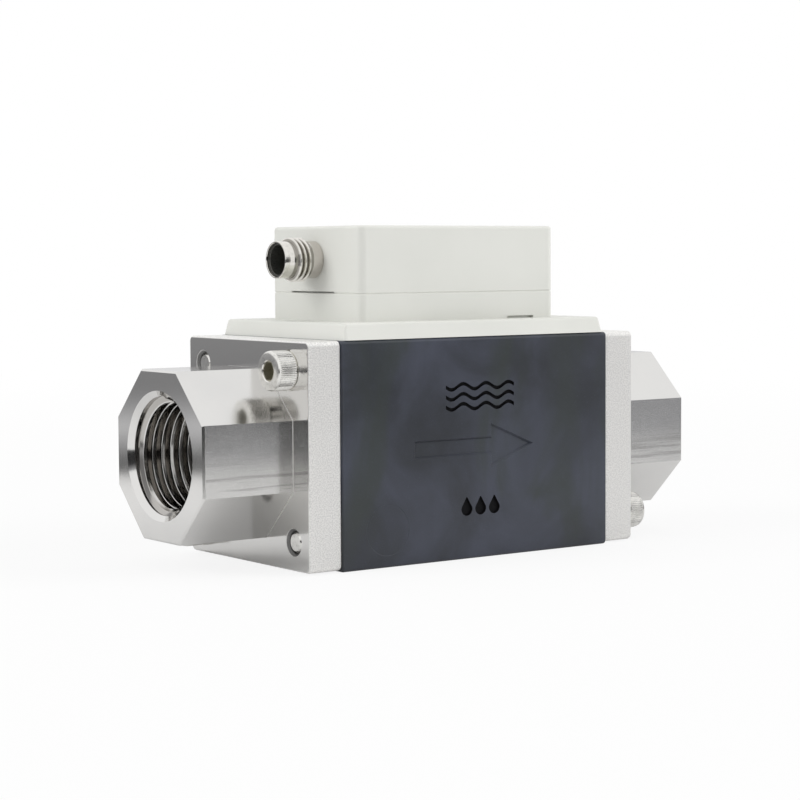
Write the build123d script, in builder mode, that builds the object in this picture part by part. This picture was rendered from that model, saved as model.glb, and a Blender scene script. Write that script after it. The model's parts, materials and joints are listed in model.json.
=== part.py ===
from build123d import *
import os

# A vortex flow meter for water: a moulded flow body clamped between two
# stainless port fittings by four long cap screws, with a two-part electronics
# housing and a round plug-in connector on top. Millimetres.
# X runs with the flow from inlet to outlet, -Y is the front, Z is up.
# The origin is under the middle of the flow body, on the surface it stands on.

# Flow body and port fittings
# The plate's sides stand out by plate_step past the port's flats
body_length = 60.6
plate_step = 5.0
plate_thickness = 6.7
plate_corner_radius = 1.0
plate_edge_radius = 0.4
body_proud = 0.3
body_corner_radius = 0.7
body_edge_radius = 0.4
flow_bore_radius = 7.0
port_length = 18.0
port_flats = 30.0
port_edge_chamfer = 0.35
# Straight pipe thread of half an inch: the wall stands at its major radius
port_thread_radius = 10.4775
port_mouth_radius = 11.45
port_thread_depth = 16.0
port_drill_slope = 0.6

# Clamping screws with their spring washers. Their axes lie inside the
# plate's sides by screw_edge_distance
screw_edge_distance = 5.0
screw_thread_radius = 2.0
screw_hole_gap = 0.25
screw_thread_gap = 0.04
screw_head_radius = 3.5
screw_head_height = 4.0
screw_head_chamfer = 0.35
screw_tip_recess = 0.3
screw_tip_chamfer = 0.5
hex_socket_flats = 3.0
hex_socket_depth = 2.0
tapped_hole_chamfer = 0.45
washer_thickness = 1.0
washer_outer_radius = 3.6
washer_split = 0.8
washer_split_angle = 35.0

# Face seals between the flow body and the two fittings
seal_inner_radius = 8.8
seal_section_width = 2.0
seal_section_height = 1.8
seal_groove_gap = 0.2
seal_rounding = 0.6

# Vortex bar and sensor probe, plugged into the flow body from above
cell_spacing = 13.0
cell_pocket_depth = 4.0
cell_pocket_radius = 2.0
bar_front_width = 3.6
bar_rear_width = 1.8
bar_depth = 4.4
bar_spigot_radius = 2.9
bar_spigot_depth = 3.0
plug_radius = 4.6
plug_stub_radius = 3.7
plug_stub_length = 2.5
plug_gap = 0.06
plug_groove_depth = 1.0
plug_groove_width = 1.8
plug_seal_height = 1.5
blade_length = 6.0
blade_thickness = 1.6
blade_reach = 2.5
lead_pin_radius = 0.32
lead_pin_pitch = 2.54
lead_hole_gap = 0.25

# Clamp plate that holds the two plugs down
clamp_thickness = 2.0
clamp_gap = 0.25
clamp_screw_reach = 0.65
clamp_screw_side = 4.4
clamp_screw_land = 2.3
clamp_window_radius = 1.2
small_screw_radius = 1.25
small_screw_gap = 0.03
small_head_radius = 2.0
small_head_height = 1.5
small_screw_grip = 6.0
drive_recess_radius = 0.9
drive_recess_depth = 0.8

# Electronics housing. The head's sides stand in by head_step from the body's
shoulder_end_gap = 0.7
shoulder_side_gap = 0.1
shoulder_height = 2.9
shoulder_corner_radius = 0.9
shoulder_taper = 15.0
shoulder_edge_radius = 0.5
head_length = 44.5
head_step = 5.8
head_foot_height = 5.0
head_corner_radius = 1.5
head_edge_radius = 0.6
housing_wall = 2.0
lap_height = 3.0
lap_thickness = 1.0
lap_gap = 0.1
lid_seal_height = 0.8
snap_place = 12.0
snap_length = 6.0
snap_height = 1.4
snap_reach = 0.35
snap_gap = 0.05
seam_chamfer = 0.15
pry_slot_y = 0.75
pry_slot_width = 14.0
pry_slot_height = 0.3
foot_slot_start = 10.9
foot_slot_length = 6.3
foot_slot_height = 0.45
foot_slot_depth = 0.8
foot_dip_start = -8.2
foot_dip_depth = 0.3
gasket_inset = 3.4
gasket_width = 1.6
gasket_height = 1.0
gasket_radius = 3.0
gasket_gap = 0.1
housing_screw_inset = 3.2
housing_screw_depth = 7.0
lid_rib_thickness = 1.0
lid_rib_depth = 1.2

# Circuit board and what stands on it
board_thickness = 1.6
board_gap = 1.2
board_seat = 3.2
board_post_radius = 2.0
board_post_end_step = 11.25
board_post_inset = 2.7
board_screw_radius = 1.0
board_screw_head_radius = 1.8
board_screw_head_height = 1.3
board_screw_length = 4.0
processor_side = 7.0
processor_height = 1.2
amplifier_length = 5.0
amplifier_width = 4.0
amplifier_height = 1.6
amplifier_step = 10.0
amplifier_y = 5.0
capacitor_radius = 2.0
capacitor_height = 5.4
capacitor_end_step = 4.45
capacitor_side_step = 4.9
wire_block_height = 2.2
wire_block_wall = 0.9

# Round eight-millimetre connector
connector_y = 0.3
connector_collar_radius = 3.4
connector_collar_length = 2.2
connector_thread_radius = 4.0
connector_thread_end = 6.0
connector_thread_chamfer = 0.3
connector_nose_radius = 3.35
connector_reach = 8.2
nose_groove_place = 7.1
nose_groove_width = 0.3
nose_groove_depth = 0.15
connector_socket_radius = 3.05
connector_socket_depth = 6.5
connector_shank_radius = 3.0
connector_core_radius = 2.3
connector_gap = 0.05
connector_nut_flats = 8.0
connector_nut_thickness = 1.8
connector_washer_thickness = 0.6
connector_thread_spare = 0.5
insert_flange = 1.0
insert_sleeve_wall = 0.3
insert_sleeve_recess = 0.6
contact_radius = 0.45
contact_offset = 1.15
contact_reach = 3.7
contact_tail = 1.6
wire_radius = 0.5
wire_run = 3.4

# Places that follow from the sizes above
plate_side = port_flats + 2 * plate_step
axis_z = body_proud + plate_side / 2
body_top = body_proud + plate_side
body_width = plate_side + 2 * body_proud
head_width = body_width - 2 * head_step
body_end = body_length / 2
plate_face = body_end + plate_thickness
port_face = plate_face + port_length
flow_axis = Axis((0, 0, axis_z), (1, 0, 0))
flow_plane = Plane.XZ
pocket_floor = body_top - cell_pocket_depth
shoulder_top = body_top + shoulder_height
shoulder_length = body_length - 2 * shoulder_end_gap
shoulder_width = body_width - 2 * shoulder_side_gap
head_seam = shoulder_top + head_foot_height
cover_height = 2 * (connector_nut_flats / 2 + connector_gap + housing_wall)
head_top = head_seam + cover_height
connector_z = head_seam + cover_height / 2
connector_washer_radius = connector_nut_flats / 2
head_end = head_length / 2
head_side = head_width / 2
inner_end = head_end - housing_wall
inner_side = head_side - housing_wall
lap_foot = head_seam - lap_height
board_bottom = shoulder_top + board_seat
board_top = board_bottom + board_thickness

screw_half = plate_side / 2 - screw_edge_distance
headed_places = [(-screw_half, axis_z + screw_half), (screw_half, axis_z - screw_half)]
tapped_places = [(-screw_half, axis_z - screw_half), (screw_half, axis_z + screw_half)]
bar_x = -cell_spacing / 2
probe_x = cell_spacing / 2
clamp_half_x = cell_spacing / 2 + plug_radius + clamp_screw_reach
clamp_length = 2 * (clamp_half_x + clamp_screw_land)
clamp_width = 2 * (clamp_screw_side + clamp_screw_land)
cell_pocket_length = clamp_length + 2 * clamp_gap
cell_pocket_width = clamp_width + 2 * clamp_gap
housing_half_x = inner_end - housing_screw_inset
housing_half_y = inner_side - housing_screw_inset
board_post_x = inner_end - board_post_end_step
board_post_y = inner_side - board_post_inset
processor_x = (probe_x + lead_pin_radius + inner_end) / 2
amplifier_x = processor_x - amplifier_step
capacitor_x = inner_end - capacitor_end_step
capacitor_y = inner_side - capacitor_side_step


def label_and_save(piece, name):
    """Names a finished piece and writes its file."""
    piece.label = name
    export_step(piece, "parts/" + name + ".step")


def corners(half_x, half_y):
    """The four corners of a rectangle round the middle."""
    return GridLocations(2 * half_x, 2 * half_y, 2, 2)


os.makedirs("parts", exist_ok=True)

# Port fitting: a square plate and an octagon port, milled as one piece.
# The drilled end of the port tapers down to the flow bore.
port_drill_length = (port_thread_radius - flow_bore_radius) * port_drill_slope
port_chamfer = port_mouth_radius - port_thread_radius
tapped_hole_radius = screw_thread_radius + screw_thread_gap
screw_hole_radius = screw_thread_radius + screw_hole_gap

with BuildPart() as inlet_fitting:
    with BuildSketch(Plane.YZ.offset(-body_end)):
        with Locations((0, axis_z)):
            RectangleRounded(plate_side, plate_side, plate_corner_radius)
    extrude(amount=-plate_thickness)
    plate_rims = inlet_fitting.faces().filter_by(Axis.X).edges()
    fillet(plate_rims, plate_edge_radius)
    with BuildSketch(Plane.YZ.offset(-plate_face)):
        with Locations((0, axis_z)):
            RegularPolygon(port_flats / 2, 8, major_radius=False, rotation=22.5)
    extrude(amount=-port_length)
    port_end = inlet_fitting.faces().sort_by(Axis.X)[0]
    chamfer(port_end.edges(), port_edge_chamfer)
    with BuildSketch(flow_plane):
        with BuildLine():
            Polyline(
                (-port_face, axis_z),
                (-port_face, axis_z + port_mouth_radius),
                (-port_face + port_chamfer, axis_z + port_thread_radius),
                (-port_face + port_thread_depth, axis_z + port_thread_radius),
                (-port_face + port_thread_depth + port_drill_length, axis_z + flow_bore_radius),
                (-body_end, axis_z + flow_bore_radius),
                (-body_end, axis_z),
                close=True,
            )
        make_face()
    revolve(axis=flow_axis, mode=Mode.SUBTRACT)
    with BuildSketch(Plane.YZ.offset(-body_end)):
        with Locations(*headed_places):
            Circle(screw_hole_radius)
        with Locations(*tapped_places):
            Circle(tapped_hole_radius)
    extrude(amount=-plate_thickness, mode=Mode.SUBTRACT)
    round_edges = inlet_fitting.edges().filter_by(GeomType.CIRCLE)
    tapped_edges = round_edges.filter_by(lambda e: abs(e.radius - tapped_hole_radius) < 0.001)
    chamfer(tapped_edges.group_by(Axis.X)[0], tapped_hole_chamfer)
label_and_save(inlet_fitting.part, "inlet_fitting")

# The outlet fitting is the same casting turned end for end
with BuildPart() as outlet_fitting:
    add(inlet_fitting.part.rotate(Axis.Z, 180))
label_and_save(outlet_fitting.part, "outlet_fitting")

# Flow body: a moulded block with the flow bore, a seal groove in each end,
# four screw holes, and a pocket on top with the two plug sockets
socket_radius = plug_radius + plug_gap
stub_socket_radius = plug_stub_radius + plug_gap
stub_seat = axis_z + flow_bore_radius + plug_stub_length
spigot_floor = axis_z - flow_bore_radius - bar_spigot_depth
groove_inner = seal_inner_radius - seal_groove_gap
groove_outer = seal_inner_radius + seal_section_width + seal_groove_gap
plug_places = [(bar_x, 0), (probe_x, 0)]

with BuildPart() as flow_body:
    with BuildSketch(Plane.YZ.offset(-body_end)):
        with Locations((0, body_top / 2)):
            RectangleRounded(body_width, body_top, body_corner_radius)
    extrude(amount=body_length)
    fillet(flow_body.faces().filter_by(Axis.X).edges(), body_edge_radius)
    with BuildSketch(Plane.YZ.offset(-body_end)):
        with Locations((0, axis_z)):
            Circle(flow_bore_radius)
        with Locations(*headed_places, *tapped_places):
            Circle(screw_hole_radius)
    extrude(amount=body_length, mode=Mode.SUBTRACT)
    for seal_end in (-1, 1):
        with BuildSketch(Plane.YZ.offset(seal_end * body_end)):
            with Locations((0, axis_z)):
                Circle(groove_outer)
                Circle(groove_inner, mode=Mode.SUBTRACT)
        extrude(amount=-seal_end * seal_section_height, mode=Mode.SUBTRACT)
    with BuildSketch(Plane.XY.offset(body_top)):
        RectangleRounded(cell_pocket_length, cell_pocket_width, cell_pocket_radius)
    extrude(amount=-cell_pocket_depth, mode=Mode.SUBTRACT)
    with BuildSketch(Plane.XY.offset(pocket_floor)):
        with Locations(*plug_places):
            Circle(socket_radius)
    extrude(amount=stub_seat - pocket_floor, mode=Mode.SUBTRACT)
    with BuildSketch(Plane.XY.offset(stub_seat)):
        with Locations(*plug_places):
            Circle(stub_socket_radius)
    extrude(amount=axis_z - stub_seat, mode=Mode.SUBTRACT)
    with BuildSketch(Plane.XY.offset(spigot_floor)):
        with Locations((bar_x, 0)):
            Circle(bar_spigot_radius + plug_gap)
    extrude(amount=axis_z - spigot_floor, mode=Mode.SUBTRACT)
    with BuildSketch(Plane.XY.offset(pocket_floor)):
        with corners(clamp_half_x, clamp_screw_side):
            Circle(small_screw_radius + small_screw_gap)
    extrude(amount=-small_screw_grip, mode=Mode.SUBTRACT)
    with BuildSketch(Plane.XY.offset(body_top)):
        with corners(housing_half_x, housing_half_y):
            Circle(small_screw_radius + small_screw_gap)
    extrude(amount=-housing_screw_depth, mode=Mode.SUBTRACT)
label_and_save(flow_body.part, "flow_body")

# Face seals, pressed flat between their groove and the plate
with BuildPart() as inlet_seal:
    with BuildSketch(Plane.YZ.offset(-body_end)):
        with Locations((0, axis_z)):
            Circle(seal_inner_radius + seal_section_width)
            Circle(seal_inner_radius, mode=Mode.SUBTRACT)
    extrude(amount=seal_section_height)
    fillet(inlet_seal.edges().filter_by(GeomType.CIRCLE), seal_rounding)
label_and_save(inlet_seal.part, "inlet_seal")

with BuildPart() as outlet_seal:
    add(inlet_seal.part.rotate(Axis.Z, 180))
label_and_save(outlet_seal.part, "outlet_seal")

# Clamping screws: two go in through each fitting and hold in the other one
screw_seat = plate_face + washer_thickness
screw_tip = plate_face - screw_tip_recess
screw_top = screw_seat + screw_head_height

with BuildPart() as inlet_screws:
    with BuildSketch(Plane.YZ.offset(-screw_seat)):
        with Locations(*headed_places):
            Circle(screw_head_radius)
    extrude(amount=-screw_head_height)
    head_rims = inlet_screws.edges().filter_by(GeomType.CIRCLE).group_by(Axis.X)[0]
    chamfer(head_rims, screw_head_chamfer)
    with BuildSketch(Plane.YZ.offset(-screw_top)):
        with Locations(*headed_places):
            RegularPolygon(hex_socket_flats / 2, 6, major_radius=False)
    extrude(amount=hex_socket_depth, mode=Mode.SUBTRACT)
    with BuildSketch(Plane.YZ.offset(-screw_seat)):
        with Locations(*headed_places):
            Circle(screw_thread_radius)
    extrude(amount=screw_seat + screw_tip)
    tip_rims = inlet_screws.edges().filter_by(GeomType.CIRCLE).group_by(Axis.X)[-1]
    chamfer(tip_rims, screw_tip_chamfer)

with BuildPart() as cap_screws:
    add(inlet_screws.part)
    add(inlet_screws.part.rotate(Axis.Z, 180))
label_and_save(cap_screws.part, "cap_screws")

# Split spring washers under the four heads, pressed flat
with BuildPart() as inlet_washers:
    with BuildSketch(Plane.YZ.offset(-plate_face)):
        with Locations(*headed_places):
            Circle(washer_outer_radius)
            Circle(screw_hole_radius, mode=Mode.SUBTRACT)
    extrude(amount=-washer_thickness)
    for split_y, split_z in headed_places:
        split_middle = (-plate_face - washer_thickness / 2, split_y, split_z + washer_outer_radius / 2)
        split_tilt = Rotation(0, 0, washer_split_angle)
        with Locations(Location(split_middle) * split_tilt):
            Box(3 * washer_thickness, washer_split, washer_outer_radius * 1.2, mode=Mode.SUBTRACT)

with BuildPart() as spring_washers:
    add(inlet_washers.part)
    add(inlet_washers.part.rotate(Axis.Z, 180))
label_and_save(spring_washers.part, "spring_washers")


# Each plug is a stepped cylinder with a seal groove. Its lower end is hollowed
# to the flow bore, so the bore wall runs on across it.
groove_middle = (stub_seat + pocket_floor) / 2


def plug_profile(place_x):
    """Half section of a plug in the plane through its own axis."""
    side = place_x + plug_radius
    stub = place_x + plug_stub_radius
    groove = side - plug_groove_depth
    groove_low = groove_middle - plug_groove_width / 2
    groove_high = groove_middle + plug_groove_width / 2
    Polyline(
        (place_x, axis_z),
        (stub, axis_z),
        (stub, stub_seat),
        (side, stub_seat),
        (side, groove_low),
        (groove, groove_low),
        (groove, groove_high),
        (side, groove_high),
        (side, pocket_floor),
        (place_x, pocket_floor),
        close=True,
    )


# Vortex bar: a trapezium across the bore, its wide flat side upstream
with BuildPart() as bar_ends:
    with BuildSketch(flow_plane):
        with BuildLine():
            plug_profile(bar_x)
        make_face()
    revolve(axis=Axis((bar_x, 0, 0), (0, 0, 1)))
    with BuildSketch(Plane.XY.offset(spigot_floor)):
        with Locations((bar_x, 0)):
            Circle(bar_spigot_radius)
    extrude(amount=axis_z - spigot_floor)
    with BuildSketch(Plane.YZ):
        with Locations((0, axis_z)):
            Circle(flow_bore_radius)
    extrude(amount=body_end, both=True, mode=Mode.SUBTRACT)

with BuildPart() as vortex_bar:
    with BuildSketch(Plane.XY.offset(axis_z - flow_bore_radius)):
        with BuildLine():
            Polyline(
                (bar_x - bar_depth / 2, -bar_front_width / 2),
                (bar_x - bar_depth / 2, bar_front_width / 2),
                (bar_x + bar_depth / 2, bar_rear_width / 2),
                (bar_x + bar_depth / 2, -bar_rear_width / 2),
                close=True,
            )
        make_face()
    extrude(amount=2 * flow_bore_radius)
    with BuildSketch(Plane.YZ):
        with Locations((0, axis_z)):
            Circle(flow_bore_radius)
    extrude(amount=body_end, both=True, mode=Mode.INTERSECT)
    add(bar_ends.part)
label_and_save(vortex_bar.part, "vortex_bar")

# Sensor probe: a thin blade that the shed vortices push from side to side
with BuildPart() as sensor_probe:
    with BuildSketch(flow_plane):
        with BuildLine():
            plug_profile(probe_x)
        make_face()
    revolve(axis=Axis((probe_x, 0, 0), (0, 0, 1)))
    with BuildSketch(Plane.YZ):
        with Locations((0, axis_z)):
            Circle(flow_bore_radius)
    extrude(amount=body_end, both=True, mode=Mode.SUBTRACT)
    with BuildSketch(Plane.XY.offset(axis_z - blade_reach)):
        with Locations((probe_x, 0)):
            SlotOverall(blade_length, blade_thickness)
    extrude(amount=blade_reach + flow_bore_radius + plug_stub_length)
label_and_save(sensor_probe.part, "sensor_probe")


# Seals round the two plugs
def plug_seal(place_x):
    """A seal ring that fills its groove out to the socket wall."""
    with BuildPart() as ring:
        with BuildSketch(Plane.XY.offset(groove_middle - plug_seal_height / 2)):
            with Locations((place_x, 0)):
                Circle(socket_radius - plug_gap / 2)
                Circle(plug_radius - plug_groove_depth + plug_gap / 2, mode=Mode.SUBTRACT)
        extrude(amount=plug_seal_height)
        fillet(ring.edges().filter_by(GeomType.CIRCLE), plug_groove_depth / 3)
    return ring.part


label_and_save(plug_seal(bar_x), "bar_seal")
label_and_save(plug_seal(probe_x), "probe_seal")

# Lead pins from the probe up through the circuit board
with BuildPart() as probe_pins:
    with BuildSketch(Plane.XY.offset(pocket_floor)):
        with Locations((probe_x, 0)):
            with GridLocations(lead_pin_pitch, 0, 2, 1):
                Circle(lead_pin_radius)
    extrude(amount=board_top + board_thickness / 2 - pocket_floor)
label_and_save(probe_pins.part, "probe_pins")

# Clamp plate over both plugs, with a window for the lead pins
clamp_top = pocket_floor + clamp_thickness

with BuildPart() as clamp_plate:
    with BuildSketch(Plane.XY.offset(pocket_floor)):
        RectangleRounded(clamp_length, clamp_width, cell_pocket_radius)
        with corners(clamp_half_x, clamp_screw_side):
            Circle(small_screw_radius + screw_hole_gap, mode=Mode.SUBTRACT)
        with Locations((probe_x, 0)):
            SlotCenterToCenter(lead_pin_pitch, 2 * clamp_window_radius, mode=Mode.SUBTRACT)
    extrude(amount=clamp_thickness)
label_and_save(clamp_plate.part, "clamp_plate")


def small_screws(seat_z, grip, places, thread_radius, head_radius, head_height):
    """Low-headed screws that point down, with a cross recess in each head."""
    with BuildPart() as screws:
        with BuildSketch(Plane.XY.offset(seat_z)):
            with places:
                Circle(head_radius)
        extrude(amount=head_height)
        rims = screws.edges().filter_by(GeomType.CIRCLE).group_by(Axis.Z)[-1]
        fillet(rims, head_height / 3)
        with BuildSketch(Plane.XY.offset(seat_z)):
            with places:
                Circle(thread_radius)
        extrude(amount=-grip)
        with BuildSketch(Plane.XY.offset(seat_z + head_height)):
            with places:
                Rectangle(2 * drive_recess_radius, drive_recess_radius / 2)
                Rectangle(drive_recess_radius / 2, 2 * drive_recess_radius)
        extrude(amount=-drive_recess_depth, mode=Mode.SUBTRACT)
    return screws.part


clamp_screw_places = corners(clamp_half_x, clamp_screw_side)
clamp_screw_grip = clamp_thickness + small_screw_grip - screw_tip_chamfer
clamp_screws = small_screws(
    clamp_top, clamp_screw_grip, clamp_screw_places, small_screw_radius, small_head_radius, small_head_height
)
label_and_save(clamp_screws, "clamp_screws")

# Lower housing: the shoulder that covers the flow body, and the head's foot.
# Its wall thins to a lap at the top, where the cover's tongue fits inside.
tongue_outer_x = inner_end + lap_thickness - lap_gap
tongue_outer_y = inner_side + lap_thickness - lap_gap
gasket_length = shoulder_length - 2 * gasket_inset
gasket_depth = shoulder_width - 2 * gasket_inset
inner_radius = max(head_corner_radius - housing_wall, 0.5)
lap_radius = max(head_corner_radius - housing_wall + lap_thickness, 0.5)
tongue_foot = lap_foot + lid_seal_height
snap_level = (tongue_foot + head_seam) / 2


def snap_wedges(gap, mode):
    """The tongue's snap beads, or with a gap the notches that they catch in."""
    for snap_x in (-snap_place, snap_place):
        for side in (-1, 1):
            with BuildSketch(Plane.YZ.offset(snap_x - snap_length / 2 - gap)) as wedge:
                with BuildLine():
                    Polyline(
                        (side * tongue_outer_y, snap_level - snap_height / 2 - gap),
                        (side * (tongue_outer_y + snap_reach + gap), snap_level),
                        (side * tongue_outer_y, snap_level + snap_height / 2 + gap),
                        close=True,
                    )
                make_face()
            extrude(wedge.sketch, amount=snap_length + 2 * gap, mode=mode)


with BuildPart() as lower_housing:
    with BuildSketch(Plane.XY.offset(body_top)):
        RectangleRounded(shoulder_length, shoulder_width, shoulder_corner_radius)
    extrude(amount=shoulder_height, taper=shoulder_taper)
    fillet(lower_housing.faces().sort_by(Axis.Z)[-1].edges(), shoulder_edge_radius)
    with BuildSketch(Plane.XY.offset(body_top)):
        RectangleRounded(head_length, head_width, head_corner_radius)
    extrude(amount=head_seam - body_top)
    chamfer(lower_housing.faces().sort_by(Axis.Z)[-1].edges(), seam_chamfer)
    with BuildSketch(Plane.XY.offset(shoulder_top)):
        RectangleRounded(2 * inner_end, 2 * inner_side, inner_radius)
    extrude(amount=head_seam - shoulder_top, mode=Mode.SUBTRACT)
    with BuildSketch(Plane.XY.offset(lap_foot)):
        lap_length = 2 * (inner_end + lap_thickness)
        lap_width = 2 * (inner_side + lap_thickness)
        RectangleRounded(lap_length, lap_width, lap_radius)
    extrude(amount=lap_height, mode=Mode.SUBTRACT)
    with BuildSketch(Plane.XY.offset(shoulder_top)):
        with GridLocations(2 * board_post_x, 2 * board_post_y, 2, 2):
            Circle(board_post_radius)
    extrude(amount=board_seat)
    with BuildSketch(Plane.XY.offset(body_top)):
        RectangleRounded(cell_pocket_length, cell_pocket_width, cell_pocket_radius)
        with corners(housing_half_x, housing_half_y):
            Circle(small_screw_radius + screw_hole_gap)
    extrude(amount=shoulder_height, mode=Mode.SUBTRACT)
    with BuildSketch(Plane.XY.offset(board_bottom)):
        with GridLocations(2 * board_post_x, 2 * board_post_y, 2, 2):
            Circle(board_screw_radius + small_screw_gap)
    extrude(amount=board_thickness - board_screw_length, mode=Mode.SUBTRACT)
    with BuildSketch(Plane.XY.offset(body_top)):
        groove_length = gasket_length + 2 * gasket_gap
        groove_width = gasket_depth + 2 * gasket_gap
        trim = 2 * gasket_width + 4 * gasket_gap
        RectangleRounded(groove_length, groove_width, gasket_radius)
        RectangleRounded(groove_length - trim, groove_width - trim, gasket_radius / 2, mode=Mode.SUBTRACT)
    extrude(amount=gasket_height, mode=Mode.SUBTRACT)
    snap_wedges(snap_gap, Mode.SUBTRACT)
    # Release slot and shallow dip at the foot of the front wall
    slot_middle = foot_slot_start + foot_slot_length / 2
    with Locations((slot_middle, -head_side, shoulder_top)):
        Box(
            foot_slot_length,
            2 * foot_slot_depth,
            foot_slot_height,
            align=(Align.CENTER, Align.CENTER, Align.MIN),
            mode=Mode.SUBTRACT,
        )
    dip_length = foot_slot_start - foot_dip_start
    with Locations((foot_dip_start + dip_length / 2, -head_side - foot_slot_depth, shoulder_top)):
        Box(dip_length, 2 * foot_slot_depth, 2 * foot_dip_depth, mode=Mode.SUBTRACT)
label_and_save(lower_housing.part, "lower_housing")

# Flat gasket in the housing's underside
with BuildPart() as base_gasket:
    with BuildSketch(Plane.XY.offset(body_top)):
        inner_length = gasket_length - 2 * gasket_width
        inner_width = gasket_depth - 2 * gasket_width
        RectangleRounded(gasket_length, gasket_depth, gasket_radius)
        RectangleRounded(inner_length, inner_width, gasket_radius / 2, mode=Mode.SUBTRACT)
    extrude(amount=gasket_height)
label_and_save(base_gasket.part, "base_gasket")

# Screws that hold the lower housing to the flow body
housing_screw_places = corners(housing_half_x, housing_half_y)
housing_screw_grip = shoulder_height + housing_screw_depth - screw_tip_chamfer
housing_screws = small_screws(
    shoulder_top, housing_screw_grip, housing_screw_places, small_screw_radius, small_head_radius, small_head_height
)
label_and_save(housing_screws, "housing_screws")

# Cover: a moulded box with a tongue round its open edge, stiffening ribs
# across its roof and a hole for the connector
connector_hole_radius = connector_shank_radius + connector_gap
roof_inside = head_top - housing_wall

with BuildPart() as upper_cover:
    with BuildSketch(Plane.XY.offset(head_seam)):
        RectangleRounded(head_length, head_width, head_corner_radius)
    extrude(amount=head_top - head_seam)
    fillet(upper_cover.faces().sort_by(Axis.Z)[-1].edges(), head_edge_radius)
    chamfer(upper_cover.faces().sort_by(Axis.Z)[0].edges(), seam_chamfer)
    # Pry slot in the seam, under the connector
    with Locations((-head_end, pry_slot_y, head_seam)):
        Box(
            2 * (lap_thickness + lap_gap),
            pry_slot_width,
            pry_slot_height,
            align=(Align.CENTER, Align.CENTER, Align.MIN),
            mode=Mode.SUBTRACT,
        )
    with BuildSketch(Plane.XY.offset(tongue_foot)):
        RectangleRounded(2 * tongue_outer_x, 2 * tongue_outer_y, lap_radius)
    extrude(amount=head_seam - tongue_foot)
    snap_wedges(0, Mode.ADD)
    with BuildSketch(Plane.XY.offset(tongue_foot)):
        RectangleRounded(2 * inner_end, 2 * inner_side, inner_radius)
    extrude(amount=roof_inside - tongue_foot, mode=Mode.SUBTRACT)
    with BuildSketch(Plane.XY.offset(roof_inside - lid_rib_depth)):
        with GridLocations(2 * board_post_x, 0, 2, 1):
            Rectangle(lid_rib_thickness, 2 * inner_side)
    extrude(amount=lid_rib_depth)
    with BuildSketch(Plane.YZ.offset(-head_end)):
        with Locations((connector_y, connector_z)):
            Circle(connector_hole_radius)
    extrude(amount=housing_wall, mode=Mode.SUBTRACT)
label_and_save(upper_cover.part, "upper_cover")

# Seal that the cover's tongue presses into the lap
with BuildPart() as cover_seal:
    with BuildSketch(Plane.XY.offset(lap_foot)):
        RectangleRounded(2 * tongue_outer_x, 2 * tongue_outer_y, lap_radius)
        RectangleRounded(2 * inner_end, 2 * inner_side, inner_radius, mode=Mode.SUBTRACT)
    extrude(amount=lid_seal_height)
label_and_save(cover_seal.part, "cover_seal")

# Circuit board on its four posts
board_length = 2 * (inner_end - board_gap)
board_width = 2 * (inner_side - board_gap)

with BuildPart() as circuit_board:
    with BuildSketch(Plane.XY.offset(board_bottom)):
        RectangleRounded(board_length, board_width, board_gap)
        with GridLocations(2 * board_post_x, 2 * board_post_y, 2, 2):
            Circle(board_screw_radius + screw_hole_gap / 2, mode=Mode.SUBTRACT)
        with Locations((probe_x, 0)):
            with GridLocations(lead_pin_pitch, 0, 2, 1):
                Circle(lead_pin_radius + lead_hole_gap, mode=Mode.SUBTRACT)
    extrude(amount=board_thickness)
label_and_save(circuit_board.part, "circuit_board")

board_screws = small_screws(
    board_top,
    board_screw_length,
    GridLocations(2 * board_post_x, 2 * board_post_y, 2, 2),
    board_screw_radius,
    board_screw_head_radius,
    board_screw_head_height,
)
label_and_save(board_screws, "board_screws")

with BuildPart() as processor_chip:
    with BuildSketch(Plane.XY.offset(board_top)):
        with Locations((processor_x, 0)):
            Rectangle(processor_side, processor_side)
    extrude(amount=processor_height)
    chamfer(processor_chip.faces().sort_by(Axis.Z)[-1].edges(), processor_height / 6)
label_and_save(processor_chip.part, "processor_chip")

with BuildPart() as amplifier_chip:
    with BuildSketch(Plane.XY.offset(board_top)):
        with Locations((amplifier_x, amplifier_y)):
            Rectangle(amplifier_length, amplifier_width)
    extrude(amount=amplifier_height)
    chamfer(amplifier_chip.faces().sort_by(Axis.Z)[-1].edges(), amplifier_height / 6)
label_and_save(amplifier_chip.part, "amplifier_chip")

# Round connector: its shell is one turned piece. Distances run outward from
# the cover's end face; its shank goes in through the cover's wall.
connector_axis = Axis((0, connector_y, connector_z), (1, 0, 0))
connector_plane = Plane((0, connector_y, connector_z), x_dir=(-1, 0, 0), z_dir=(0, 1, 0))
wall_face = head_end
shank_length = housing_wall + connector_washer_thickness + connector_nut_thickness + connector_thread_spare
shank_end = wall_face - shank_length
socket_floor = wall_face + connector_reach - connector_socket_depth
insert_seat = socket_floor - insert_flange
sleeve_end = wall_face + connector_reach - insert_sleeve_recess
sleeve_radius = connector_socket_radius - connector_gap

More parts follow.
